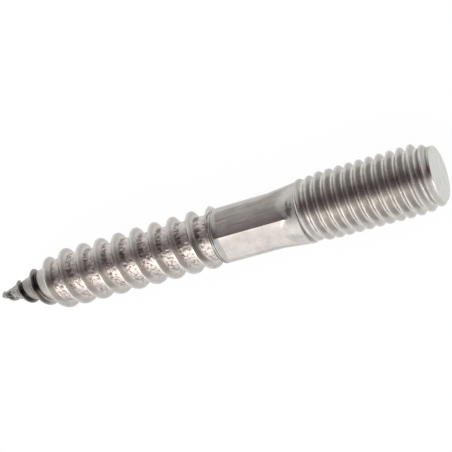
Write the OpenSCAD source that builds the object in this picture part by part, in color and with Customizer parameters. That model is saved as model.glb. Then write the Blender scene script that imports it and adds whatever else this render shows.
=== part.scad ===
// Hanger bolt: one bar with a machine thread on one end, a hexagon-pressed shank in the middle
// and a coarse wood thread with a gimlet point on the other end. Both threads are right-handed.
// It lies along X with the machine end at +X, on the plane Z = 0, and its length is centred on X = 0.

/* [Machine end] */
// Outside diameter of the machine thread, crest to crest
machine_d = 8; // [7.4:0.1:10]
// Diameter at the root of the machine thread
machine_root_d = 6.5; // [6:0.1:6.8]
// Distance from one turn of the machine thread to the next
machine_pitch = 1.25; // [1.2:0.05:2]
// Width of the flat on the crest of the machine thread
machine_crest_w = 0.16; // [0.1:0.01:0.25]
// Length of the machine-threaded end, from the neck to the end face
machine_len = 16.2; // [10:0.1:40]
// Length over which the first turn rises out of the neck
machine_rise = 1.25; // [0.5:0.05:3]
// Depth of the chamfer on the end face, square to the axis
end_chamfer = 0.8; // [0.3:0.1:1.2]
// Length of that chamfer along the axis
end_chamfer_len = 2.2; // [0.3:0.1:4]
// Turn of the machine thread's start round the bolt, in degrees
machine_start = 289; // [0:1:359]

/* [Neck] */
// Length of the flare between the shank and the machine thread
neck_len = 4; // [3:0.1:8]
// Diameter of the flare where the machine thread starts
neck_d = 7.5; // [7:0.1:7.8]
// Length over which the pressed flats run out into the flare
runout_len = 2.7; // [1.5:0.1:2.9]

/* [Shank] */
// Diameter of the round bar, left bare on the two sides that are not pressed
shank_d = 6.7; // [6.2:0.1:7]
// Distance across two opposite pressed flats
flats_af = 5.8; // [5.6:0.1:6]
// Angle between the normals of two flats that meet at an edge
flats_angle = 60; // [50:1:70]
// Length of the shank, from the wood thread to the neck
shank_len = 7.5; // [5:0.1:30]
// Width of the round collar that is left beside the wood thread
collar_len = 0.95; // [0.2:0.05:2]

/* [Wood end] */
// Outside diameter of the wood thread
wood_d = 7.4; // [6.6:0.1:7.8]
// Diameter of the core under the wood thread
wood_root_d = 5.6; // [5:0.1:5.7]
// Distance from one turn of the wood thread to the next
wood_pitch = 2.6; // [2.2:0.1:3.6]
// Width of the flat on the crest of the wood thread
wood_crest_w = 0.25; // [0.1:0.05:0.4]
// Length of the wood-threaded end, point and all
wood_len = 32.3; // [24:0.1:60]
// Length over which the last turn sinks into the core beside the collar
wood_fade = 0.6; // [0.4:0.1:3]
// Length of the gimlet point, from the tip to the full diameter
point_len = 10; // [6:0.1:14]
// Diameter of the blunt tip
tip_d = 0.4; // [0.3:0.1:1.2]
// Share of the full thread height that the ridge already has at the tip
tip_ridge = 0.1; // [0.05:0.05:0.6]
// Turn of the wood thread's start round the bolt, in degrees
wood_start = 260; // [0:1:359]

/* [Threads] */
// Lean of each flank of both threads away from square to the axis
flank_angle = 30; // [22:1:32]

/* [Hidden] */

steel = [0.76, 0.74, 0.72];
// Straight sides that make one turn of a thread
turn_sides = 30;
// Sides that draw the true rounds
round_sides = 96;
// How far a cut or a cover reaches past what it cuts or covers
past = 1;

// Places along the axis, measured from the tip
shank_at = wood_len;
neck_at = shank_at + shank_len;
machine_at = neck_at + neck_len;
total_len = machine_at + machine_len;

machine_r = machine_d / 2;
machine_root_r = machine_root_d / 2;
machine_h = machine_r - machine_root_r;
wood_root_r = wood_root_d / 2;
wood_h = wood_d / 2 - wood_root_r;
shank_r = shank_d / 2;
neck_r = neck_d / 2;
flat_at = flats_af / 2;

// Rows across one pitch of a thread: start and end of the valley, start and end of the crest
ridge_rows = [0, 0, 1, 1];
function rows_along(pitch, height, crest_w) =
    let (flank_w = height * tan(flank_angle))
    let (valley_w = pitch - crest_w - 2 * flank_w)
    [0, valley_w, valley_w + flank_w, valley_w + flank_w + crest_w];

// How far z has come on the way from one place to another, from 0 to 1
function share(from, to, z) = min(1, max(0, (z - from) / (to - from)));

// Radius of each thread at a place along the axis, on a row of the valley or of the crest
wood_radius = function (z, row)
    let (grown = share(0, point_len, z))
    let (core = tip_d / 2 + (wood_root_r - tip_d / 2) * grown)
    let (ridge = tip_ridge + (1 - tip_ridge) * grown)
    core + wood_h * ridge_rows[row] * ridge * (1 - share(wood_len - wood_fade, wood_len, z));

machine_radius = function (z, row)
    let (ridge = machine_h * ridge_rows[row] * share(machine_at, machine_at + machine_rise, z))
    min(machine_root_r + ridge, machine_r - end_chamfer * share(end_chamfer_len, 0, total_len - z));

// Core and ridge of a thread as one closed skin, wound round the axis from one place to another.
// Its two ends are ramps of one turn: each is a fan of triangles from a point on the axis.
module wound_thread(pitch, row_at, from, to, start, radius) {
    rows = len(row_at);
    steps = ceil((to - from) / pitch * turn_sides);
    // A point on a step round the helix and a row across the pitch
    spot = function (step, row)
        let (z = from + pitch * step / turn_sides + row_at[row])
        let (turn = start + 360 * step / turn_sides)
        [radius(z, row) * cos(turn), radius(z, row) * sin(turn), z];
    // Its number in the list; the row after the last one is the first row a turn later
    number = function (step, row)
        let (on_step = row < rows ? step : step + turn_sides)
        let (on_row = row < rows ? row : 0)
        on_step > steps ? (steps + 1) * rows + on_step - steps - 1 : on_step * rows + on_row;
    wound = [for (step = [0 : steps], row = [0 : rows - 1]) spot(step, row)];
    last_row = [for (step = [steps + 1 : steps + turn_sides]) spot(step, 0)];
    ends = [[0, 0, from], [0, 0, from + pitch * (steps / turn_sides + 1)]];
    low_end = len(wound) + len(last_row);
    high_end = low_end + 1;
    skin = [for (step = [0 : steps - 1], row = [0 : rows - 1], half = [0, 1]) half == 0
        ? [number(step, row), number(step, row + 1), number(step + 1, row)]
        : [number(step + 1, row), number(step, row + 1), number(step + 1, row + 1)]];
    low_ramp = [for (step = [0 : turn_sides - 1])
        [low_end, number(step, 0), number(step + 1, 0)]];
    low_wall = [for (row = [0 : rows - 1])
        [low_end, number(0, row + 1), number(0, row)]];
    high_ramp = [for (step = [steps : steps + turn_sides - 1])
        [high_end, number(step + 1, 0), number(step, 0)]];
    high_wall = [for (row = [0 : rows - 1])
        [high_end, number(steps, row), number(steps, row + 1)]];
    polyhedron(concat(wound, last_row, ends), concat(skin, low_ramp, low_wall, high_ramp, high_wall));
}

// Wood end: gimlet point, core and ridge, with its last ramp inside the shank
module wood_thread() {
    wound_thread(wood_pitch, rows_along(wood_pitch, wood_h, wood_crest_w),
        0, wood_len, wood_start, wood_radius);
}

// Machine end: its first ramp is inside the neck, and its last turn is cut off flat at the end face
module machine_thread() {
    intersection() {
        wound_thread(machine_pitch, rows_along(machine_pitch, machine_h, machine_crest_w),
            machine_at - machine_pitch, total_len, machine_start, machine_radius);
        cylinder(h = total_len, r = machine_r + past, $fn = round_sides);
    }
}

// Round bar of the collar, the shank and the flare, in one turned profile
module turned_bar() {
    rotate_extrude($fn = round_sides)
        polygon([
            [0, shank_at],
            [shank_r, shank_at],
            [shank_r, neck_at],
            [neck_r, machine_at],
            [0, machine_at]
        ]);
}

// Section between the four flats: two pairs, each meeting at an edge on the X line
module flats_section() {
    edge_x = flat_at / cos(flats_angle / 2);
    side_y = flat_at / sin(flats_angle / 2);
    polygon([[edge_x, 0], [0, side_y], [-edge_x, 0], [0, -side_y]]);
}

// What the pressing takes off the bar: all that lies outside the flats,
// up to a cone that starts under them and rises to the full flare where they have run out
module pressed_away() {
    slope = (neck_r - flat_at) / runout_len;
    cone_at = machine_at - runout_len - past;
    cone_len = runout_len + 2 * past;
    difference() {
        translate([0, 0, shank_at + collar_len])
            linear_extrude(shank_len - collar_len + neck_len)
                difference() {
                    circle(neck_r + past, $fn = round_sides);
                    flats_section();
                }
        translate([0, 0, cone_at])
            cylinder(h = cone_len, r1 = flat_at - slope * past, r2 = neck_r + slope * past,
                $fn = round_sides);
    }
}

module hanger_bolt() {
    color(steel)
        translate([-total_len / 2, 0, machine_r])
            rotate([0, 90, 0])
                union() {
                    difference() {
                        turned_bar();
                        pressed_away();
                    }
                    wood_thread();
                    machine_thread();
                }
}

hanger_bolt();
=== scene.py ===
import math

import bpy
import numpy as np
from mathutils import Matrix


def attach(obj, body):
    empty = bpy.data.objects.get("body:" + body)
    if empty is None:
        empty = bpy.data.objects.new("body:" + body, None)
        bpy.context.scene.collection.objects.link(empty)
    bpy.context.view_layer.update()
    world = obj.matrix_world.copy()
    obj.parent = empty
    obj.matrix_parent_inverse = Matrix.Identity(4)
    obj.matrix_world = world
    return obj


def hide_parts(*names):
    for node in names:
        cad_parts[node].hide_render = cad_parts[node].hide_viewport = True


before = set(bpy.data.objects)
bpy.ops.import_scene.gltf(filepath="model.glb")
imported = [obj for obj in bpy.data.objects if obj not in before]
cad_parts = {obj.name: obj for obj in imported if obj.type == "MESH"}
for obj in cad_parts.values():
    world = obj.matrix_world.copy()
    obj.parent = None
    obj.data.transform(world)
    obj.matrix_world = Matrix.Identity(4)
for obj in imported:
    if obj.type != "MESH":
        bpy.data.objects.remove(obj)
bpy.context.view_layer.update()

mm = 0.001  # sizes of the bolt and of the camera's place are in millimetres, Blender and the studio are in metres

# places along the bolt: x runs from the tip at -30 to the end face at +30
bolt = {
    "tipX": -30.0,
    "pointX": -29.75,     # the rough point is worn back a little
    "shankX": 2.3,        # wood thread ends, collar starts
    "pressX": 3.08,       # collar ends, flats start
    "neckX": 9.8,         # flare starts
    "machineX": 13.8,     # machine thread starts
    "endX": 30.0,
    "axisZ": 4.0,
    "columns": 144,       # points round one turn, a multiple of 12 so that the flats' edges fall on them
    "sharpAngle": 26.0,   # edges that turn by more than this stay sharp
    "weldSteps": 1e5,     # points are in the same place if they agree to one of this many steps per millimetre
    "fieldSpare": 2.0,    # the random fields go on this far past the end
}

shank = {
    "barR": 3.35,
    "flatR": 2.94,        # axis to the middle of a pressed flat
    "flatsAt": (60.0, 120.0, 240.0, 300.0),
    "halfFlat": 1.675,
    "crown": 0.1,         # a pressed flat is a little higher in its middle
    "neckR": 3.75,
    "runOut": 2.7,        # length over which the flats run out into the flare
    "runOutSoft": 0.10,
    "edgeSoft": 0.05,
    "linesAt": (2.42, 2.68),    # two fine turned lines on the collar
    "lineDepth": 0.05,
    "lineWidth": 0.06,
    "pressSoft": 0.36,          # the flats sink in from the collar over twice this length
    "offAxis": -0.13,           # collar, shank and flare sit a little to the -Y side of the threads' axis
    "collarRings": 34,
    "flatRings": 22,
    "flareRings": 44,
    "ringStart": 0.08,          # from the collar's edge to its first ring
    "ringPast": 0.4,            # the close rings of the collar go on this far past the start of the flats
    "ringStep": 0.1,
    "neckStep": 0.2,
}

woodEnd = {
    "rootR": 2.8,
    "crestR": 3.7,
    "pitch": 2.6,
    "crestWidth": 0.2,
    "tipFlank": 0.42,     # length of the flank on the point's side, along the bolt
    "flank": 0.46,        # and of the one on the machine side
    "flankLess": 0.08,    # which is so much shorter on the -Y side
    "flankSide": (-0.5, 0.5),       # cosines of the angle between which it changes, -1 at -Y
    "crestX": -7.84,      # a crest passes here at the angle below
    "crestAngle": 87.5,
    "pointLength": 10.0,
    "tipR": 0.2,
    "tipRidge": 0.1,
    "tipRound": 0.5,
    "fade": 0.5,
    "lipAt": (-0.75, -0.1, 0.08, 0.2, 0.36, 0.62),    # section of the first turns, measured from the crest
    "lipRise": (0.0, 1.0, 1.0, -0.15, -0.3, 0.0),     # in ridge heights
    "lipFrom": 6.4,       # distance from the tip where that section goes over into the plain ridge
    "lipTo": 8.2,
    "grit": 0.07,
    "gritFields": ((0.7, 0.4, 12, 13), (0.4, 0.2, 22, 14)),     # share, cell length, cells round, seed
    "gritStop": (2.0, 4.2),         # distances from the tip
    "tornDepth": 0.022,
    "tornFields": ((0.6, 0.42, 60, 11), (0.4, 0.22, 110, 12)),
    "crackDepth": 2.4,              # in torn depths
    "foldDepth": 0.05,              # rolling folds that run along the first full ridge
    "folds": ((0.42, 0.05), (0.72, 0.06)),      # distance from the crest, and width
    "foldStart": (7.6, 8.4),        # distances from the tip
    "foldStop": (10.4, 11.4),
    "floorRows": 7,
    "flankRows": 5,
}

machineEnd = {
    "rootR": 3.25,
    "crestR": 4.0,
    "pitch": 1.25,
    "crestWidth": 0.13,
    "flank": 0.44,
    "rootSoft": 0.16,     # rounding of the root, in ridge heights
    "crestX": 16.65,
    "crestAngle": 87.5,
    "rise": 2.6,          # the first turns are lower than the rest
    "firstHeight": 0.55,
    "firstRoot": 0.3,     # the groove starts shallow
    "firstLength": 0.9,
    "taper": 2.2,         # over this length the thread tapers to the end face
    "taperCrest": 0.66,
    "taperLean": 0.16,    # the taper is deeper on the +Y side
    "taperRoot": 0.1,
    "rootRows": 5,
    "flankRows": 4,
    "rootReach": 0.06,    # in pitches, how far the close rows of the root go up the flank
    "faceRings": 16,
}


def share(low, high, t):
    return np.clip((t - low) / (high - low), 0.0, 1.0)


def ease(low, high, t):
    s = share(low, high, t)
    return s * s * (3.0 - 2.0 * s)


# the larger of two radii with a soft joint
def softMax(a, b, soft):
    return 0.5 * (a + b + np.sqrt((a - b) ** 2 + soft ** 2))


# how far x is from the nearest crest of a helix that climbs one pitch per turn
def fromCrest(x, angle, thread):
    d = x - thread["crestX"] - thread["pitch"] * (angle - thread["crestAngle"]) / 360.0
    return d - thread["pitch"] * np.round(d / thread["pitch"])


# smooth random field on a lattice of cells along the bolt and round it, joined up after one turn
def roughField(x, angle, cellLength, cellsRound, seed):
    cellsAlong = int((bolt["endX"] - bolt["tipX"] + bolt["fieldSpare"]) / cellLength) + 3
    lattice = np.random.default_rng(seed).uniform(-1.0, 1.0, (cellsAlong, cellsRound))
    gx = (x - bolt["tipX"]) / cellLength + 1.0
    ga = np.mod(angle, 360.0) / 360.0 * cellsRound
    ix = np.floor(gx).astype(int)
    ia = np.floor(ga).astype(int)
    fx = ease(0.0, 1.0, gx - ix)
    fa = ease(0.0, 1.0, ga - ia)
    ia0 = np.mod(ia, cellsRound)
    ia1 = np.mod(ia + 1, cellsRound)
    low = lattice[ix, ia0] * (1 - fa) + lattice[ix, ia1] * fa
    high = lattice[ix + 1, ia0] * (1 - fa) + lattice[ix + 1, ia1] * fa
    return low * (1 - fx) + high * fx


# wear of the metal, and painted highlight and painted shade on it: a pair runs from where a mark starts to where it
# is full, a side is a pair of cosines of the angle (1 at +Y, -1 at -Y), and a field is cell length, cells round and
# seed
finishAndPaintedLight = {
    "sideWidth": (-1.2, 1.2),           # y, from all on the -Y side to all on the +Y side
    "cutDepth": 0.001,
    "pressStart": (-0.1, 0.2),          # from the start of the flats
    "pressStop": (11.0, 12.8),
    "wornStop": (5.6, 8.4),             # from the tip
    "tornEdge": (-0.18, -0.08),         # from the foot of a flank
    "tornStart": (-21.5, -19.0),
    "tornStop": (1.7, 2.2),
    "crackFields": ((1.0, 0.36, 62, 21), (0.8, 0.24, 96, 22)),      # share first, then the field
    "crackWidth": 0.24,
    "crackKeep": (-0.1, 0.35),
    "crackKeepField": (0.3, 72, 23),
    "fleckInset": 0.12,
    "fleckSide": (-0.1, 0.35),
    "fleckStop": (1.05, 1.35),          # from the crest
    "fleckLess": 0.85,
    # where the painted highlight lies: crests and roots of the machine thread, crests of the wood thread, and the
    # flare
    "machineCrest": (0.06, 0.14),       # from the crest, and the root likewise
    "machineRoot": (0.40, 0.50),
    "machineStart": 0.4,
    "woodCrest": (0.10, 0.16),
    "woodStart": (-22.5, -21.0),
    "woodStop": 0.1,                    # before the collar
    "flareHighlight": (10.6, 12.6),
    "flareHighlightShare": 0.35,
    # painted shade: a browner tone on the thread flanks of the -Y side, and a darker one on those of the +Y side
    "lowSideShadeSide": (-0.1, 0.5),
    "lowSideShadeFlank": (0.06, 0.14),       # from the crest
    "lowSideShadeWood": 0.3,
    "lowSideShadeMachine": 0.2,
    "lowSideShadeEnd": 0.4,                  # before the end face
    "dimSide": (0.15, 0.6),
    "dimFlare": (11.4, 12.8),
    "dimLess": 0.6,                     # share on the flare and on the wood thread
    "dimEnd": 0.1,                      # before the end face
    "threadStart": 0.2,                 # past the start of the machine thread
}

# dirt, painted shade and a painted dark reflection, in the same terms
grimeAndShade = {
    # painted shade in the cracks of the torn floor
    "crack": 0.55,
    # painted shadow in the grooves behind the first lips
    "grooveFrom": (0.06, 0.16),         # from the crest
    "grooveTo": (0.42, 0.6),
    "grooveStart": (2.2, 3.0),          # from the tip
    "grooveStop": (6.6, 7.8),
    "grooveEdge": 0.1,
    "grooveEdgeField": (0.5, 20, 31),
    "grooveLeast": 0.7,
    "grooveBreak": (-0.6, 0.0),
    "grooveField": (0.5, 24, 32),
    "pit": 0.8,
    "pitBreak": (0.25, 0.6),
    "pitField": (0.3, 16, 33),
    "pitStop": (2.6, 4.0),              # from the tip
    # darkening in the collar's two lines
    "line": 0.95,
    "lineBreak": (-0.8, 0.2),
    "lineField": (0.6, 30, 34),
    "rub": 0.7,                         # a dark rub on the flare
    "rubAt": (12.78, 74.0),             # place along the bolt and angle round it
    "rubSize": (0.52, 19.0),
    "rubEdge": (0.4, 1.3),              # in sizes
    "rubBreak": 0.6,
    "rubField": (0.25, 80, 35),
    # painted dark reflection along the foot of the wood ridges
    "foot": 0.46,                       # along the foot of each wood ridge on the +Y side
    "footInset": 0.06,
    "footStop": (0.85, 1.2),            # from the crest
    "footSide": (-0.05, 0.3),
    "footTop": (0.4, 0.8),              # and less of it towards the top
    "footLess": 0.6,
    "footBreak": (-0.7, 0.3),
    "footField": (0.6, 36, 36),
    # painted shade in the last root before the end face
    "last": 0.7,                        # in the last root before the end face, on the +Y side
    "lastWidth": 0.12,
    "lastStart": (29.1, 29.3),
    "lastGap": 0.01,
    "lastSide": (0.0, 0.3),
}


# cosine of the angle: 1 at +Y, -1 at -Y
def sideOf(angle):
    return np.cos(np.radians(angle))


# angle measured from another one, between -180 and 180
def turnFrom(angle, at):
    return np.mod(angle - at + 180.0, 360.0) - 180.0


# sum of random fields, each with its share
def mixedField(x, angle, parts):
    return sum(part * roughField(x, angle, *field) for part, *field in parts)


# length of a wood ridge's flank, where d is measured from its crest
def flankLength(d, angle):
    less = woodEnd["flankLess"] * (1.0 - ease(*woodEnd["flankSide"], sideOf(angle)))
    return np.where(d > 0.0, woodEnd["flank"] - less, woodEnd["tipFlank"])


# 1 on the torn floor between two wood ridges, 0 on the ridges and outside the wood end;
# its edge lies a little way up the flanks, or so much further in
def tornShare(x, angle, inwards=0.0):
    d = fromCrest(x, angle, woodEnd)
    foot = woodEnd["crestWidth"] / 2 + flankLength(d, angle) + inwards
    floor = ease(*finishAndPaintedLight["tornEdge"], np.abs(d) - foot)
    return floor * ease(*finishAndPaintedLight["tornStart"], x) * (1.0 - ease(*finishAndPaintedLight["tornStop"], x))


# flakes of the torn floor: 1 in the cracks, which run where a random field crosses zero and another one lets them
def crackShare(x, angle):
    crack = np.exp(-(mixedField(x, angle, finishAndPaintedLight["crackFields"]) / finishAndPaintedLight["crackWidth"]) ** 2)
    keep = ease(*finishAndPaintedLight["crackKeep"], roughField(x, angle, *finishAndPaintedLight["crackKeepField"]))
    return crack * keep * tornShare(x, angle)


# where the torn floor is flecked: all over on the -Y side, but on the +Y side
# only along the foot of the ridge that is nearer to the point
def flakedShare(x, angle):
    past = np.mod(fromCrest(x, angle, woodEnd), woodEnd["pitch"])
    clear = ease(*finishAndPaintedLight["fleckSide"], sideOf(angle)) * ease(*finishAndPaintedLight["fleckStop"], past)
    return tornShare(x, angle, finishAndPaintedLight["fleckInset"]) * (1.0 - finishAndPaintedLight["fleckLess"] * clear)


# 1 on the crests of both threads and in the roots of the machine thread, which get a painted highlight, a colour
# brighter than the flanks', and a third as much on the flare
def highlightShare(x, angle):
    d = np.abs(fromCrest(x, angle, machineEnd))
    machine = 1.0 - ease(*finishAndPaintedLight["machineCrest"], d) + ease(*finishAndPaintedLight["machineRoot"], d)
    machine = machine * ease(bolt["machineX"], bolt["machineX"] + finishAndPaintedLight["machineStart"], x)
    wood = 1.0 - ease(*finishAndPaintedLight["woodCrest"], np.abs(fromCrest(x, angle, woodEnd)))
    wood = wood * ease(*finishAndPaintedLight["woodStart"], x) * (x < bolt["shankX"] - finishAndPaintedLight["woodStop"])
    flare = finishAndPaintedLight["flareHighlightShare"] * ease(*finishAndPaintedLight["flareHighlight"], x) * (x <= bolt["machineX"])
    return flare + wood + machine


# share of the painted shade, a browner tone, on the flanks of both threads on the -Y side
def lowSideShadeShare(x, angle):
    low = 1.0 - ease(*finishAndPaintedLight["lowSideShadeSide"], sideOf(angle))
    wood = ease(*finishAndPaintedLight["lowSideShadeFlank"], np.abs(fromCrest(x, angle, woodEnd)))
    wood = wood * (1.0 - tornShare(x, angle)) * (x < bolt["shankX"])
    thread = (x > bolt["machineX"] + finishAndPaintedLight["threadStart"]) * (x < bolt["endX"] - finishAndPaintedLight["lowSideShadeEnd"])
    machine = (1.0 - highlightShare(x, angle)) * thread
    return low * (finishAndPaintedLight["lowSideShadeWood"] * wood + finishAndPaintedLight["lowSideShadeMachine"] * machine)


# 1 on the flanks of the machine thread on the +Y side, which get a little painted shade,
# and less on the flare before them and on the flanks of the wood thread
def highSideShadeShare(x, angle):
    high = ease(*finishAndPaintedLight["dimSide"], sideOf(angle))
    flank = 1.0 - highlightShare(x, angle)
    thread = (x > bolt["machineX"] + finishAndPaintedLight["threadStart"]) * (x < bolt["endX"] - finishAndPaintedLight["dimEnd"])
    flare = ease(*finishAndPaintedLight["dimFlare"], x) * (x <= bolt["machineX"])
    wood = (1.0 - tornShare(x, angle)) * ease(*finishAndPaintedLight["woodStart"], x) * (x < bolt["shankX"])
    return high * (flank * thread + finishAndPaintedLight["dimLess"] * (flare + flank * wood))


# 1 on the dull rough metal of the point, 0 from the third turn on
def wornShare(x):
    return 1.0 - ease(*finishAndPaintedLight["wornStop"], x - bolt["tipX"])


# 1 along the pressed flats
def pressedShare(x):
    return ease(*finishAndPaintedLight["pressStart"], x - bolt["pressX"]) * (1.0 - ease(*finishAndPaintedLight["pressStop"], x))


# painted shadow in the grooves behind the first lips, and dirt in the pits of the point
def pointShadeAndDirt(x, angle):
    s = x - bolt["tipX"]
    d = fromCrest(x, angle, woodEnd)
    edge = grimeAndShade["grooveEdge"] * roughField(x, angle, *grimeAndShade["grooveEdgeField"])
    groove = ease(*grimeAndShade["grooveFrom"], d) * (1.0 - ease(*grimeAndShade["grooveTo"], d + edge))
    groove = groove * ease(*grimeAndShade["grooveStart"], s) * (1.0 - ease(*grimeAndShade["grooveStop"], s))
    broken = ease(*grimeAndShade["grooveBreak"], roughField(x, angle, *grimeAndShade["grooveField"]))
    groove = groove * (grimeAndShade["grooveLeast"] + (1.0 - grimeAndShade["grooveLeast"]) * broken)
    pits = ease(*grimeAndShade["pitBreak"], roughField(x, angle, *grimeAndShade["pitField"])) * (1.0 - ease(*grimeAndShade["pitStop"], s))
    return np.maximum(groove, grimeAndShade["pit"] * pits)


# darkening in the collar's lines, and the dirty rub on the flare
def shankLinesAndRub(x, angle):
    lines = np.maximum.reduce([np.exp(-((x - at) / shank["lineWidth"]) ** 2) for at in shank["linesAt"]])
    lines = lines * ease(*grimeAndShade["lineBreak"], roughField(x, angle, *grimeAndShade["lineField"]))
    rubX, rubAngle = grimeAndShade["rubAt"]
    rubLength, rubTurn = grimeAndShade["rubSize"]
    away = np.hypot((x - rubX) / rubLength, turnFrom(angle, rubAngle) / rubTurn)
    away = away + grimeAndShade["rubBreak"] * roughField(x, angle, *grimeAndShade["rubField"])
    return np.maximum(grimeAndShade["line"] * lines, grimeAndShade["rub"] * (1.0 - ease(*grimeAndShade["rubEdge"], away)))


# painted shade in the cracks and in the last root of the machine thread, and a painted dark reflection along the
# foot of the wood ridges
def threadShade(x, angle):
    side = sideOf(angle)
    past = np.mod(fromCrest(x, angle, woodEnd), woodEnd["pitch"])
    foot = tornShare(x, angle, grimeAndShade["footInset"]) * (1.0 - ease(*grimeAndShade["footStop"], past))
    foot = foot * ease(*grimeAndShade["footSide"], side) * (1.0 - grimeAndShade["footLess"] * ease(*grimeAndShade["footTop"], side))
    foot = foot * ease(*grimeAndShade["footBreak"], roughField(x, angle, *grimeAndShade["footField"]))
    root = machineEnd["pitch"] / 2 - np.abs(fromCrest(x, angle, machineEnd))
    last = np.exp(-(root / grimeAndShade["lastWidth"]) ** 2) * ease(*grimeAndShade["lastSide"], side)
    last = last * ease(*grimeAndShade["lastStart"], x) * (x < bolt["endX"] - grimeAndShade["lastGap"])
    return np.maximum.reduce([grimeAndShade["crack"] * crackShare(x, angle), grimeAndShade["foot"] * foot, grimeAndShade["last"] * last])


# dirt, painted shade and a painted dark reflection, all darkening the colour
def soilAndShadeShare(x, angle):
    return np.maximum.reduce([part(x, angle) for part in (pointShadeAndDirt, shankLinesAndRub, threadShade)])


# radius of the wood end: cone of the core plus a ridge, with sharp lips and grooves on the first turns of the point,
# rounded off at the tip and torn on the floor
def woodRadius(x, angle):
    s = x - bolt["tipX"]
    grown = share(0.0, woodEnd["pointLength"], s)
    core = woodEnd["tipR"] + (woodEnd["rootR"] - woodEnd["tipR"]) * grown
    sink = 1.0 - share(bolt["shankX"] - woodEnd["fade"], bolt["shankX"], x)
    height = (woodEnd["crestR"] - woodEnd["rootR"]) * sink
    height = height * (woodEnd["tipRidge"] + (1.0 - woodEnd["tipRidge"]) * grown)
    d = fromCrest(x, angle, woodEnd)
    lift = 1.0 - share(0.0, flankLength(d, angle), np.abs(d) - woodEnd["crestWidth"] / 2)
    lip = np.interp(d, woodEnd["lipAt"], woodEnd["lipRise"])
    lift = lip + (lift - lip) * ease(woodEnd["lipFrom"], woodEnd["lipTo"], s)
    torn = mixedField(x, angle, woodEnd["tornFields"]) * tornShare(x, angle)
    torn = torn - woodEnd["crackDepth"] * crackShare(x, angle)
    grit = mixedField(x, angle, woodEnd["gritFields"]) * (1.0 - ease(*woodEnd["gritStop"], s))
    folds = sum(np.exp(-((d - at) / width) ** 2) for at, width in woodEnd["folds"])
    folds = folds * ease(*woodEnd["foldStart"], s) * (1.0 - ease(*woodEnd["foldStop"], s))
    radius = core + height * lift + woodEnd["tornDepth"] * torn + woodEnd["grit"] * grit
    radius = np.maximum(radius - woodEnd["foldDepth"] * folds, 0.0)
    away = 1.0 - share(bolt["pointX"], bolt["pointX"] + woodEnd["tipRound"], x)
    return radius * np.sqrt(1.0 - away ** 2)


# radius of the bar: round bar and flare with two fine lines on the collar, cut by four crowned flats
# that a cone fills towards the neck
def barRadius(x, angle):
    bar = shank["barR"] + (shank["neckR"] - shank["barR"]) * share(bolt["neckX"], bolt["machineX"], x)
    for at in shank["linesAt"]:
        bar = bar - shank["lineDepth"] * np.exp(-((x - at) / shank["lineWidth"]) ** 2)
    lean = np.radians(np.minimum.reduce([np.abs(turnFrom(angle, at)) for at in shank["flatsAt"]]))
    across = shank["flatR"] * np.tan(lean) / shank["halfFlat"]
    flats = (shank["flatR"] - shank["crown"] * across ** 2) / np.cos(lean)
    slope = (shank["neckR"] - shank["flatR"]) / shank["runOut"]
    cone = shank["flatR"] + slope * (x - bolt["machineX"] + shank["runOut"])
    pressed = np.minimum(bar, softMax(flats, cone, shank["runOutSoft"]))
    return bar + (pressed - bar) * ease(-shank["pressSoft"], shank["pressSoft"], x - bolt["pressX"])


# radius of the machine end: core plus a ridge that rises over the first turns and tapers to the end face
def machineRadius(x, angle):
    s = x - bolt["machineX"]
    rise = machineEnd["firstHeight"] + (1.0 - machineEnd["firstHeight"]) * ease(0.0, machineEnd["rise"], s)
    taper = share(machineEnd["taper"], 0.0, bolt["endX"] - x)
    root = machineEnd["rootR"] + machineEnd["firstRoot"] * (1.0 - ease(0.0, machineEnd["firstLength"], s))
    root = root - machineEnd["taperRoot"] * taper
    crest = machineEnd["crestR"] - (machineEnd["taperCrest"] + machineEnd["taperLean"] * sideOf(angle)) * taper
    d = np.abs(fromCrest(x, angle, machineEnd))
    lift = np.minimum(1.0, 1.0 - (d - machineEnd["crestWidth"] / 2) / machineEnd["flank"])
    lift = softMax(lift, 0.0, machineEnd["rootSoft"]) / softMax(1.0, 0.0, machineEnd["rootSoft"])
    return root + (crest - root) * rise * lift


# points at radius r and angle round the bolt's axis, in metres
def onBolt(x, r, angle):
    turn = np.radians(angle)
    return np.stack([x, r * np.cos(turn), bolt["axisZ"] + r * np.sin(turn)], axis=-1).reshape(-1, 3) * mm


# two triangles for each cell whose corners have these numbers
def cellTriangles(a, b, c, d):
    return np.concatenate([np.stack([a, b, c], -1).reshape(-1, 3), np.stack([a, c, d], -1).reshape(-1, 3)])


# a thread as one strip wound from valley to valley: step k turns it by one column, row v crosses one pitch,
# x = start + pitch * (k / columns + v), held between the two ends so that it closes in flat rings
def woundStrip(thread, rows, radiusAt, lowX, highX):
    n = bolt["columns"]
    m = len(rows)
    valley = thread["crestX"] - thread["pitch"] * (thread["crestAngle"] / 360.0 - 0.5)
    start = valley - thread["pitch"] * math.ceil((valley - lowX) / thread["pitch"] + 1.0)
    steps = n * math.ceil((highX - start) / thread["pitch"] + 1.0)
    k = np.arange(steps + n + 1)
    angle = np.broadcast_to((np.mod(k, n) * 360.0 / n)[:, None], (len(k), m))
    x = start + thread["pitch"] * (k[:, None] / n + rows[None, :])
    x = np.clip(x, lowX, highX)
    points = onBolt(x, radiusAt(x, angle), angle)
    number = np.arange(len(k) * m).reshape(len(k), m)
    after = np.concatenate([number[:steps + 1, 1:], number[n:n + steps + 1, :1]], axis=1)
    tris = cellTriangles(number[:steps], number[1:steps + 1], after[1:], after[:-1])
    return points, tris


# rings at the places x with radius r, one row of cells between each ring and the next
def ringStack(x, r):
    n = bolt["columns"]
    angle = np.broadcast_to(np.arange(n) * 360.0 / n, r.shape)
    points = onBolt(np.broadcast_to(x[:, None], r.shape), r, angle)
    number = np.arange(r.size).reshape(r.shape)
    nextRound = np.roll(number, -1, axis=1)
    return points, cellTriangles(number[:-1], nextRound[:-1], nextRound[1:], number[1:])


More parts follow.
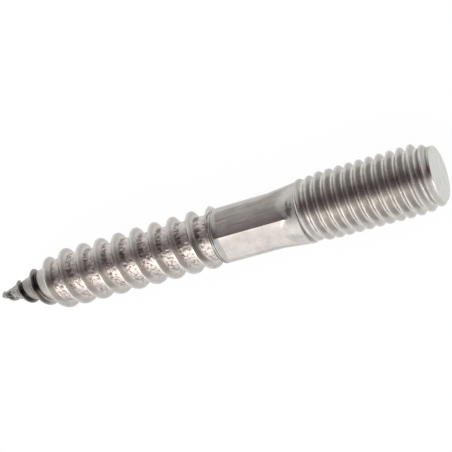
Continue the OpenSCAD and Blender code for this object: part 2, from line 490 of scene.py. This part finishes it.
# puts pieces of skin together: points in the same place become one, flat cells drop out, faces turn outwards
def weld(parts):
    offsets = np.cumsum([0] + [len(p) for p, t in parts[:-1]])
    points = np.concatenate([p for p, t in parts])
    tris = np.concatenate([t + o for (p, t), o in zip(parts, offsets)])
    keys = np.round(points / mm * bolt["weldSteps"]).astype(np.int64)
    first, back = np.unique(keys, axis=0, return_index=True, return_inverse=True)[1:]
    tris = back.reshape(-1)[tris]
    full = (tris[:, 0] != tris[:, 1]) & (tris[:, 1] != tris[:, 2]) & (tris[:, 2] != tris[:, 0])
    points, tris = points[first], tris[full]
    a, b, c = points[tris[:, 0]], points[tris[:, 1]], points[tris[:, 2]]
    if np.einsum("ij,ij->", a, np.cross(b, c)) < 0:
        tris = tris[:, ::-1]
    edges = np.sort(np.concatenate([tris[:, [0, 1]], tris[:, [1, 2]], tris[:, [2, 0]]]), axis=1)
    uses = np.unique(edges, axis=0, return_counts=True)[1]
    print("skin:", len(points), "points,", len(tris), "triangles,", int((uses != 2).sum()), "open edges")
    return points, tris


def makeBolt():
    n = bolt["columns"]
    angle = np.arange(n)[None, :] * 360.0 / n
    foot = 0.5 - (woodEnd["crestWidth"] / 2 + woodEnd["flank"]) / woodEnd["pitch"]
    brow = 0.5 - woodEnd["crestWidth"] / 2 / woodEnd["pitch"]
    half = np.concatenate([
        np.linspace(0.0, foot, woodEnd["floorRows"])[:-1], np.linspace(foot, brow, woodEnd["flankRows"])])
    woodRows = np.concatenate([half, [0.5], 1.0 - half[:0:-1]])
    foot = 0.5 - (machineEnd["crestWidth"] / 2 + machineEnd["flank"]) / machineEnd["pitch"]
    foot = foot + machineEnd["rootReach"]
    brow = 0.5 - machineEnd["crestWidth"] / 2 / machineEnd["pitch"]
    half = np.concatenate([
        np.linspace(0.0, foot, machineEnd["rootRows"])[:-1], np.linspace(foot, brow, machineEnd["flankRows"])])
    machineRows = np.concatenate([half, [0.5], 1.0 - half[:0:-1]])
    wood = woundStrip(woodEnd, woodRows, woodRadius, bolt["pointX"], bolt["shankX"])
    machine = woundStrip(machineEnd, machineRows, machineRadius, bolt["machineX"], bolt["endX"])
    # collar, shank and flare: a wall up from the wood core, rings, and a wall down to the machine core
    closeEnd = bolt["pressX"] + shank["ringPast"]
    x = np.concatenate([
        [bolt["shankX"] + shank["edgeSoft"]],
        np.linspace(bolt["shankX"] + shank["ringStart"], closeEnd, shank["collarRings"]),
        np.linspace(closeEnd + shank["ringStep"], bolt["neckX"] - shank["neckStep"], shank["flatRings"]),
        np.linspace(bolt["neckX"], bolt["machineX"] - shank["edgeSoft"], shank["flareRings"]),
    ])
    r = barRadius(x[:, None], angle)
    x = np.concatenate([[bolt["shankX"]] * 2, x, [bolt["machineX"]] * 2])
    ring = np.zeros_like(angle)
    r = np.concatenate([
        woodRadius(bolt["shankX"] + ring, angle), ring + shank["barR"] - shank["edgeSoft"],
        r,
        ring + shank["neckR"] - shank["edgeSoft"], machineRadius(bolt["machineX"] + ring, angle),
    ])
    bar = ringStack(x, r)
    # all its rings move off the axis, apart from the two that meet the threads
    slip = np.full(len(x), shank["offAxis"])
    slip[[0, -1]] = 0.0
    bar[0][:, 1] += np.repeat(slip, n) * mm
    shrink = np.linspace(1.0, 0.0, machineEnd["faceRings"])
    rim = machineRadius(bolt["endX"] + ring, angle)
    face = ringStack(np.full(len(shrink), bolt["endX"]), shrink[:, None] * rim)
    points, tris = weld([wood, bar, machine, face])
    mesh = bpy.data.meshes.new("hangerBolt")
    mesh.from_pydata(points.tolist(), [], tris.tolist())
    mesh.polygons.foreach_set("use_smooth", np.ones(len(tris), dtype=bool))
    mesh.set_sharp_from_angle(angle=math.radians(bolt["sharpAngle"]))
    x = points[:, 0] / mm
    around = np.degrees(np.arctan2(points[:, 2] / mm - bolt["axisZ"], points[:, 1] / mm))
    # shares for the material, some of them painted shade, a painted dark reflection and a painted highlight
    fields = {
        "torn": tornShare(x, around),
        "flaked": flakedShare(x, around),
        "soilAndShade": soilAndShadeShare(x, around),
        "worn": wornShare(x),
        "pressed": pressedShare(x),
        "cut": (x > bolt["endX"] - finishAndPaintedLight["cutDepth"]).astype(float),
        "side": ease(*finishAndPaintedLight["sideWidth"], points[:, 1] / mm),
        "lowSideShade": lowSideShadeShare(x, around),
        "paintedHighlight": highlightShare(x, around),
        "highSideShade": highSideShadeShare(x, around),
    }
    for name, values in fields.items():
        field = mesh.attributes.new(name, "FLOAT", "POINT")
        field.data.foreach_set("value", values.astype(np.float32))
    piece = bpy.data.objects.new("hangerBolt", mesh)
    bpy.context.collection.objects.link(piece)
    return piece


# colours, roughness, noises and bumps of the steel, some colours being painted highlight and painted shade
steelFinishAndPaintedLight = {
    "bright": (0.55, 0.525, 0.505, 1.0),
    "shade": (0.475, 0.46, 0.437, 1.0),
    # a brighter colour painted on as highlight, then a browner and a darker one painted on as shade
    "paintedHighlight": (0.66, 0.635, 0.605, 1.0),
    "lowSideShade": (0.49, 0.45, 0.42, 1.0),
    "highSideShade": (0.435, 0.42, 0.40, 1.0),
    "mottled": (0.40, 0.375, 0.36, 1.0),
    "torn": (0.71, 0.66, 0.63, 1.0),
    "stroke": (0.22, 0.185, 0.17, 1.0),
    "streak": (0.39, 0.35, 0.345, 1.0),
    "worn": (0.31, 0.295, 0.28, 1.0),
    "cut": (0.63, 0.635, 0.605, 1.0),
    "scratch": (0.43, 0.435, 0.41, 1.0),
    # dirt colour, which also serves as painted shade and a painted dark reflection
    "dirtAndShade": (0.075, 0.06, 0.06, 1.0),
    "smooth": 0.20,
    "dull": 0.36,
    "tornDull": 0.14,
    # noises: scale, detail and, if it is drawn out, the scale along each axis
    "cloud": (420.0, 5.0),
    "mottle": (1300.0, 5.0),
    "fleck": (2600.0, 2.0),
    "rung": (1.0, 2.0, (1100.0, 3300.0, 3300.0)),
    "grain": (5200.0, 3.0),
    "drawn": (1.0, 4.0, (220.0, 4600.0, 4600.0)),
    "brushed": (1.0, 4.0, (900.0, 500.0, 5200.0)),
    "wall": (1750.0, 0.048, 0.12),  # scale of the cells, then where a wall between them starts to fade and ends
    # part of a noise that turns into a share, and the shares at its two ends if they aren't 0 and 1
    "shadeSpread": (0.40, 0.66),
    "mottleSpread": (0.45, 0.65, 0.0, 0.4),
    "strokeSpread": (0.46, 0.51, 0.0, 0.85),
    "rungSpread": (0.46, 0.53, 0.0, 0.9),
    "streakSpread": (0.46, 0.68),
    "wornSpread": (0.30, 0.60, 0.6, 1.0),
    "scratchSpread": (0.50, 0.72),
    "drawnLeast": 0.2,              # share of the draw marks on the -Y side's flats
    # heights of the bumps in metres
    "pitHeight": 0.00003,
    "drawnHeight": 0.00001,
    "grainHeight": 0.000006,
    "grainStrength": 0.35,
}


def steelMaterial():
    mat = bpy.data.materials.new("stainlessSteel")
    mat.use_nodes = True
    tree = mat.node_tree
    skin = tree.nodes["Principled BSDF"]
    skin.inputs["Metallic"].default_value = 1.0
    link = tree.links.new
    place = tree.nodes.new("ShaderNodeTexCoord")

    def noise(scale, detail, stretch=None):
        made = tree.nodes.new("ShaderNodeTexNoise")
        made.inputs["Scale"].default_value = scale
        made.inputs["Detail"].default_value = detail
        spot = place.outputs["Object"]
        if stretch:
            shape = tree.nodes.new("ShaderNodeMapping")
            shape.inputs["Scale"].default_value = stretch
            link(spot, shape.inputs["Vector"])
            spot = shape.outputs["Vector"]
        link(spot, made.inputs["Vector"])
        return made.outputs["Fac"]

    def field(name):
        made = tree.nodes.new("ShaderNodeAttribute")
        made.attribute_name = name
        return made.outputs["Fac"]

    def spread(value, low, high, bottom=0.0, top=1.0):
        made = tree.nodes.new("ShaderNodeMapRange")
        for key, number in (("From Min", low), ("From Max", high), ("To Min", bottom), ("To Max", top)):
            made.inputs[key].default_value = number
        link(value, made.inputs["Value"])
        return made.outputs["Result"]

    def times(a, b):
        made = tree.nodes.new("ShaderNodeMath")
        made.operation = "MULTIPLY"
        link(a, made.inputs[0])
        link(b, made.inputs[1])
        return made.outputs["Value"]

    def blend(under, over, share):
        made = tree.nodes.new("ShaderNodeMix")
        made.data_type = "RGBA"
        for socket, colour in (("A", under), ("B", over)):
            if isinstance(colour, tuple):
                made.inputs[socket].default_value = colour
            else:
                link(colour, made.inputs[socket])
        link(share, made.inputs["Factor"])
        return made.outputs["Result"]

    # thin walls between random cells, 1 on a wall
    def walls(scale, fade, end):
        made = tree.nodes.new("ShaderNodeTexVoronoi")
        made.feature = "DISTANCE_TO_EDGE"
        made.inputs["Scale"].default_value = scale
        link(place.outputs["Object"], made.inputs["Vector"])
        return spread(made.outputs["Distance"], fade, end, 1.0, 0.0)

    cloud, mottle, fleck, rung, grain, drawn, brushed = (noise(*steelFinishAndPaintedLight[name]) for name in (
        "cloud", "mottle", "fleck", "rung", "grain", "drawn", "brushed"))
    torn, flaked, soilAndShade, worn, pressed, cut, side, paintedHighlight, lowSideShade, highSideShade = (field(name) for name in (
        "torn", "flaked", "soilAndShade", "worn", "pressed", "cut", "side", "paintedHighlight", "lowSideShade", "highSideShade"))
    # draw marks are strong on the +Y side's flats and faint on the others
    pressed = times(pressed, spread(side, 0.0, 1.0, steelFinishAndPaintedLight["drawnLeast"], 1.0))
    tone = blend(steelFinishAndPaintedLight["bright"], steelFinishAndPaintedLight["shade"], spread(cloud, *steelFinishAndPaintedLight["shadeSpread"]))
    # painted shade on the flanks, browner on the -Y side and darker on the +Y side, then a painted highlight on
    # crests and roots
    tone = blend(tone, steelFinishAndPaintedLight["lowSideShade"], lowSideShade)
    tone = blend(tone, steelFinishAndPaintedLight["highSideShade"], highSideShade)
    tone = blend(tone, steelFinishAndPaintedLight["paintedHighlight"], paintedHighlight)
    tone = blend(tone, steelFinishAndPaintedLight["mottled"], spread(mottle, *steelFinishAndPaintedLight["mottleSpread"]))
    tone = blend(tone, steelFinishAndPaintedLight["torn"], torn)
    # short strokes on the torn floor, and dark flecks drawn out along the bolt on its +Y side
    strokes = times(walls(*steelFinishAndPaintedLight["wall"]), spread(fleck, *steelFinishAndPaintedLight["strokeSpread"]))
    tone = blend(tone, steelFinishAndPaintedLight["stroke"], times(flaked, strokes))
    rungs = times(side, spread(rung, *steelFinishAndPaintedLight["rungSpread"]))
    tone = blend(tone, steelFinishAndPaintedLight["stroke"], times(flaked, rungs))
    tone = blend(tone, steelFinishAndPaintedLight["streak"], times(pressed, spread(drawn, *steelFinishAndPaintedLight["streakSpread"])))
    tone = blend(tone, steelFinishAndPaintedLight["worn"], times(worn, spread(cloud, *steelFinishAndPaintedLight["wornSpread"])))
    scratched = spread(brushed, *steelFinishAndPaintedLight["scratchSpread"])
    tone = blend(tone, blend(steelFinishAndPaintedLight["cut"], steelFinishAndPaintedLight["scratch"], scratched), cut)
    # dirt, and painted shade and a painted dark reflection in the cracks, grooves and roots
    tone = blend(tone, steelFinishAndPaintedLight["dirtAndShade"], soilAndShade)
    link(tone, skin.inputs["Base Color"])
    rough = tree.nodes.new("ShaderNodeMath")
    rough.operation = "MULTIPLY_ADD"
    rough.inputs[1].default_value = steelFinishAndPaintedLight["tornDull"]
    link(torn, rough.inputs[0])
    link(spread(cloud, 0.0, 1.0, steelFinishAndPaintedLight["smooth"], steelFinishAndPaintedLight["dull"]), rough.inputs[2])
    link(rough.outputs["Value"], skin.inputs["Roughness"])

    def bump(height, distance, strength, under=None):
        made = tree.nodes.new("ShaderNodeBump")
        made.inputs["Distance"].default_value = distance
        if isinstance(strength, float):
            made.inputs["Strength"].default_value = strength
        else:
            link(strength, made.inputs["Strength"])
        link(height, made.inputs["Height"])
        if under:
            link(under, made.inputs["Normal"])
        return made.outputs["Normal"]

    # pits of the torn floor, draw marks along the flats, then a fine grain all over
    pits = bump(cloud, steelFinishAndPaintedLight["pitHeight"], torn)
    marks = bump(drawn, steelFinishAndPaintedLight["drawnHeight"], pressed, pits)
    relief = bump(grain, steelFinishAndPaintedLight["grainHeight"], steelFinishAndPaintedLight["grainStrength"], marks)
    link(relief, skin.inputs["Normal"])
    return mat


piece = makeBolt()
piece.data.materials.append(steelMaterial())
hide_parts("hanger_bolt")
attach(piece, "root")
print("bolt made")

# the camera's axes in the row frame come from three turns: along the bolt, out of the picture, and about the bolt
view = {
    "lens": 107.75,
    "sensor": 36.0,
    "nearest": 0.01,                # the camera sees nothing closer, in metres
    "lookAt": (6.63, 0.0, 4.0),     # the point of the axis that the picture is fitted to
    "ahead": 158.97,                # how far that point is from the camera
    "sideways": 3.088,
    "towards": 24.55,               # how far the machine end leans to the camera
    "climb": 15.87,                 # how far the axis climbs in the picture
    "roll": 2.5,                    # turn about the bolt's own axis
}


def makeCamera():
    towards, climb, roll = (math.radians(view[key]) for key in ("towards", "climb", "roll"))
    flat = math.cos(towards)
    along = np.array([flat * math.cos(climb), -flat * math.sin(climb), -math.sin(towards)])
    down = np.array([math.sin(climb), math.cos(climb), 0.0])
    near = np.cross(down, along)
    up = math.cos(roll) * near + math.sin(roll) * down
    across = math.sin(roll) * near - math.cos(roll) * down
    axes = np.stack([along, across, up])     # rows: the row frame's X, Y and Z as the camera sees them
    place = np.array(view["lookAt"]) - axes @ np.array([view["sideways"], 0.0, view["ahead"]])
    data = bpy.data.cameras.new("camera")
    data.lens = view["lens"]
    data.sensor_width = view["sensor"]
    data.clip_start = view["nearest"]
    camera = bpy.data.objects.new("camera", data)
    bpy.context.collection.objects.link(camera)
    matrix = np.eye(4)
    matrix[:3, 0], matrix[:3, 1], matrix[:3, 2] = axes[:, 0], -axes[:, 1], -axes[:, 2]
    matrix[:3, 3] = place * mm
    camera.matrix_world = Matrix(matrix.tolist())
    bpy.context.scene.camera = camera


makeCamera()
print("camera set")

studio = {
    "white": (1.0, 1.0, 1.0, 1.0),
    "ambient": 1.0,
    "backdrop": 1.0,
    "floorHalf": 2.0,
    "floorWhite": (0.97, 0.97, 0.97, 1.0),
    "floorGlow": 0.96,      # share of the floor that glows where it is seen or mirrored
    "lampReach": 0.45,
    # each lamp: power, colour, width, height, turn from the near line in degrees,
    # and the share of its way from the bolt that goes along it
    "lamps": {
        "key": (0.285, (1.0, 0.90, 0.83), 0.60, 0.34, -66.0, -0.415),
        "strip": (0.19, (1.0, 0.93, 0.87), 0.125, 0.17, -36.0, -0.48),
    },
}

hood = {
    "reach": 0.32,
    "fromX": -0.56,
    "fadeX": -0.39,        # between these two it fades to white
    "toX": 1.60,
    "rows": 60,
    # turn from the near line in degrees, then the light that comes from there
    "tones": (
        (-25.0, 1.00, 1.00, 1.00),
        (-14.0, 0.72, 0.67, 0.655),
        (-6.0, 0.45, 0.405, 0.395),
        (3.0, 0.18, 0.14, 0.15),
        (16.0, 0.13, 0.10, 0.108),
        (28.0, 0.12, 0.09, 0.10),
        (40.0, 0.24, 0.197, 0.213),
        (50.0, 0.37, 0.315, 0.335),
        (54.0, 0.48, 0.43, 0.44),
        (57.0, 0.64, 0.60, 0.60),
        (63.0, 0.64, 0.63, 0.61),
        (74.0, 0.76, 0.77, 0.74),
        (88.0, 0.86, 0.87, 0.83),
    ),
}


# one shader for rays from the camera and mirrored ones, and another for those that light the scene
def seenWhite(tree, lit, white):
    path = tree.nodes.new("ShaderNodeLightPath")
    either = tree.nodes.new("ShaderNodeMath")
    either.operation = "MAXIMUM"
    seen = tree.nodes.new("ShaderNodeMath")
    seen.operation = "MAXIMUM"
    tree.links.new(path.outputs["Is Camera Ray"], either.inputs[0])
    tree.links.new(path.outputs["Is Glossy Ray"], either.inputs[1])
    tree.links.new(either.outputs["Value"], seen.inputs[0])
    tree.links.new(path.outputs["Is Transmission Ray"], seen.inputs[1])
    mix = tree.nodes.new("ShaderNodeMixShader")
    tree.links.new(seen.outputs["Value"], mix.inputs["Fac"])
    tree.links.new(lit, mix.inputs[1])
    tree.links.new(white, mix.inputs[2])
    return mix.outputs["Shader"]


def makeWorld():
    world = bpy.data.worlds.new("studio")
    world.use_nodes = True
    bpy.context.scene.world = world
    tree = world.node_tree
    lit = tree.nodes["Background"]
    lit.inputs["Color"].default_value = studio["white"]
    lit.inputs["Strength"].default_value = studio["ambient"]
    white = tree.nodes.new("ShaderNodeBackground")
    white.inputs["Color"].default_value = studio["white"]
    white.inputs["Strength"].default_value = studio["backdrop"]
    both = seenWhite(tree, lit.outputs[0], white.outputs[0])
    tree.links.new(both, tree.nodes["World Output"].inputs["Surface"])


# a flat sheet from its middle and its two half sides, in metres
def flatSheet(name, middle, halfWide, halfHigh):
    middle, halfWide, halfHigh = (np.array(v, dtype=float) for v in (middle, halfWide, halfHigh))
    signs = np.array([[-1, -1], [1, -1], [1, 1], [-1, 1]])
    corners = middle + signs[:, :1] * halfWide + signs[:, 1:] * halfHigh
    mesh = bpy.data.meshes.new(name)
    mesh.from_pydata(corners.tolist(), [], [[0, 1, 2, 3]])
    sheet = bpy.data.objects.new(name, mesh)
    bpy.context.collection.objects.link(sheet)
    return sheet


def makeFloor():
    floor = flatSheet("floor", (0, 0, 0), (studio["floorHalf"], 0, 0), (0, studio["floorHalf"], 0))
    mat = bpy.data.materials.new("paleFloor")
    mat.use_nodes = True
    tree = mat.node_tree
    tree.nodes.remove(tree.nodes["Principled BSDF"])
    paint = tree.nodes.new("ShaderNodeBsdfDiffuse")
    paint.inputs["Color"].default_value = studio["floorWhite"]
    glow = tree.nodes.new("ShaderNodeEmission")
    glow.inputs["Color"].default_value = studio["white"]
    part = tree.nodes.new("ShaderNodeMixShader")
    part.inputs["Fac"].default_value = studio["floorGlow"]
    tree.links.new(paint.outputs[0], part.inputs[1])
    tree.links.new(glow.outputs[0], part.inputs[2])
    both = seenWhite(tree, paint.outputs[0], part.outputs[0])
    tree.links.new(both, tree.nodes["Material Output"].inputs["Surface"])
    floor.data.materials.append(mat)


# the two ways square to the bolt as the camera sees it: out towards the camera, and up in the picture
def nearAndHigh():
    roll = math.radians(view["roll"])
    return np.array([0.0, math.sin(roll), math.cos(roll)]), np.array([0.0, math.cos(roll), -math.sin(roll)])


# soft lamps low in front, where the lower half of the bolt looks to
def makeLamp(name, power, colour, wide, tall, turn, along):
    data = bpy.data.lights.new(name, "AREA")
    data.shape = "RECTANGLE"
    data.energy = power
    data.color = colour
    data.size = wide
    data.size_y = tall
    lamp = bpy.data.objects.new(name, data)
    lamp.visible_camera = False
    bpy.context.collection.objects.link(lamp)
    near, high = nearAndHigh()
    out = math.cos(math.radians(turn)) * near + math.sin(math.radians(turn)) * high
    back = math.sqrt(1.0 - along ** 2) * out + along * np.array([1.0, 0.0, 0.0])
    place = np.array(view["lookAt"]) * mm + back * studio["lampReach"]
    side = np.array([1.0, 0.0, 0.0]) - along * back
    side = side / np.linalg.norm(side)
    matrix = np.eye(4)
    matrix[:3, 0], matrix[:3, 1], matrix[:3, 2], matrix[:3, 3] = side, np.cross(back, side), back, place
    lamp.matrix_world = Matrix(matrix.tolist())


# a curved hood over the bolt that only the metal mirrors: a point is on the axis plus the reach times
# (cosine of the turn * near + sine of the turn * high), from just before the near line to the floor behind;
# it is dark overhead, pale further back and white at the tip's end
def makeHood():
    near, high = nearAndHigh()
    turn, tone = np.array(hood["tones"])[:, 0], np.array(hood["tones"])[:, 1:]
    t = np.linspace(turn[0], turn[-1], hood["rows"])
    x = np.array([hood["fromX"], hood["fadeX"], hood["toX"]])
    colour = np.stack([np.interp(t, turn, tone[:, c]) for c in range(3)], axis=-1)
    white = np.array([1.0, 0.0, 0.0])[None, :, None]
    colour = colour[:, None, :] * (1.0 - white) + white
    colour = np.concatenate([colour, np.ones(colour.shape[:2] + (1,))], axis=-1)
    out = np.cos(np.radians(t))[:, None] * near + np.sin(np.radians(t))[:, None] * high
    middle = np.array(view["lookAt"]) * mm
    points = middle + hood["reach"] * out[:, None, :] + x[None, :, None] * np.array([1.0, 0.0, 0.0])
    number = np.arange(points.size // 3).reshape(points.shape[:2])
    corners = [number[:-1, :-1], number[:-1, 1:], number[1:, 1:], number[1:, :-1]]
    cells = np.stack(corners, axis=-1).reshape(-1, 4)
    mesh = bpy.data.meshes.new("hood")
    mesh.from_pydata(points.reshape(-1, 3).tolist(), [], cells.tolist())
    paint = mesh.attributes.new("tone", "FLOAT_COLOR", "POINT")
    paint.data.foreach_set("color", colour.astype(np.float32).ravel())
    sheet = bpy.data.objects.new("hood", mesh)
    bpy.context.collection.objects.link(sheet)
    sheet.visible_camera = False
    sheet.visible_shadow = False
    sheet.visible_diffuse = False
    mat = bpy.data.materials.new("hood")
    mat.use_nodes = True
    tree = mat.node_tree
    tree.nodes.remove(tree.nodes["Principled BSDF"])
    glow = tree.nodes.new("ShaderNodeEmission")
    tones = tree.nodes.new("ShaderNodeAttribute")
    tones.attribute_name = "tone"
    tree.links.new(tones.outputs["Color"], glow.inputs["Color"])
    tree.links.new(glow.outputs[0], tree.nodes["Material Output"].inputs["Surface"])
    mesh.materials.append(mat)


makeWorld()
makeFloor()
for name, settings in studio["lamps"].items():
    makeLamp(name, *settings)
makeHood()
bpy.context.scene.view_settings.view_transform = "Standard"
print("studio set")
